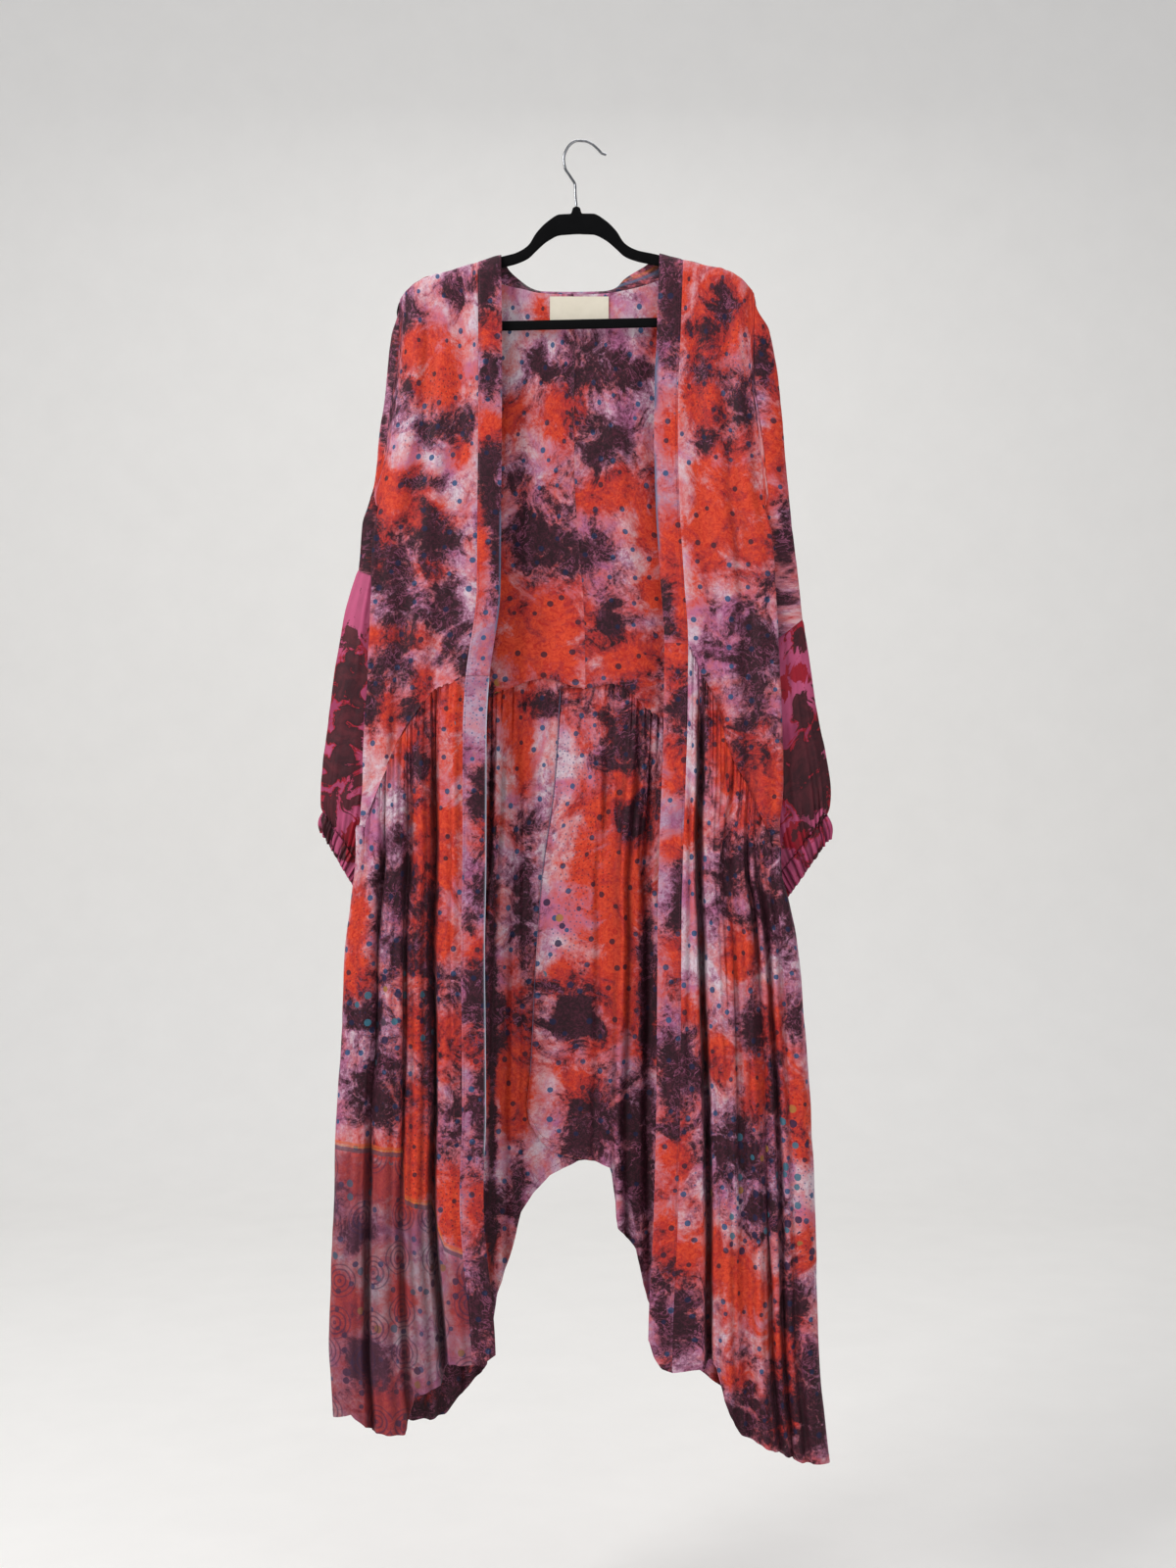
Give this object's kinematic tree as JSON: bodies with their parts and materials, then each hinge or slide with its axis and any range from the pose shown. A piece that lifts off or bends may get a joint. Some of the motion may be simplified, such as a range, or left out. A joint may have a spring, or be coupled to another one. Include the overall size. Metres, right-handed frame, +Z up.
{
  "type": "kimono coat on a hanger",
  "caption": "Long open-front kimono coat with gathered skirts and cuffed bishop sleeves, in tie-dyed printed crepe, hanging from a slim hanger",
  "frame": {"origin": "the inner top of the hanger's hook, where a rail or a wall hook carries it", "axes": "+Z up, +X to the right of a viewer who faces the coat's front, +Y away from that viewer, towards the back of the coat"},
  "size_m": [0.6142, 0.0844, 1.5811],
  "materials": {
    "tie_dyed_crepe": "thin silky crepe, tie-dyed coral, plum and pale mauve, with small scattered dots",
    "orchid_crepe": "thin silky crepe, blotched orchid pink, crimson and maroon",
    "plum_band_crepe": "doubled crepe band, plum and lilac with blue-grey edges",
    "cream_label": "plain cream woven cloth, bare",
    "black_velvet": "black flocked velvet over moulded plastic",
    "chrome": "polished wire"
  },
  "bodies": {
    "root": {"front_bodice_left": "tie_dyed_crepe", "front_bodice_right": "tie_dyed_crepe", "back_bodice_left": "tie_dyed_crepe", "back_bodice_right": "tie_dyed_crepe", "back_bodice_left_lower": "tie_dyed_crepe", "back_bodice_right_lower": "tie_dyed_crepe", "front_skirt_left": "tie_dyed_crepe", "front_skirt_right": "tie_dyed_crepe", "back_skirt_left": "tie_dyed_crepe", "back_skirt_right": "tie_dyed_crepe", "upper_sleeve_left": "tie_dyed_crepe", "upper_sleeve_right": "tie_dyed_crepe", "lower_sleeve_left": "orchid_crepe", "lower_sleeve_right": "orchid_crepe", "cuff_left": "orchid_crepe", "cuff_right": "orchid_crepe", "front_band_left": "plum_band_crepe", "front_band_right": "plum_band_crepe", "skirt_band_left": "plum_band_crepe", "skirt_band_right": "plum_band_crepe", "back_neck_band": "plum_band_crepe", "neck_label": "cream_label", "hanger_frame": "black_velvet", "hanger_hook": "chrome"}
  },
  "joints": []
}
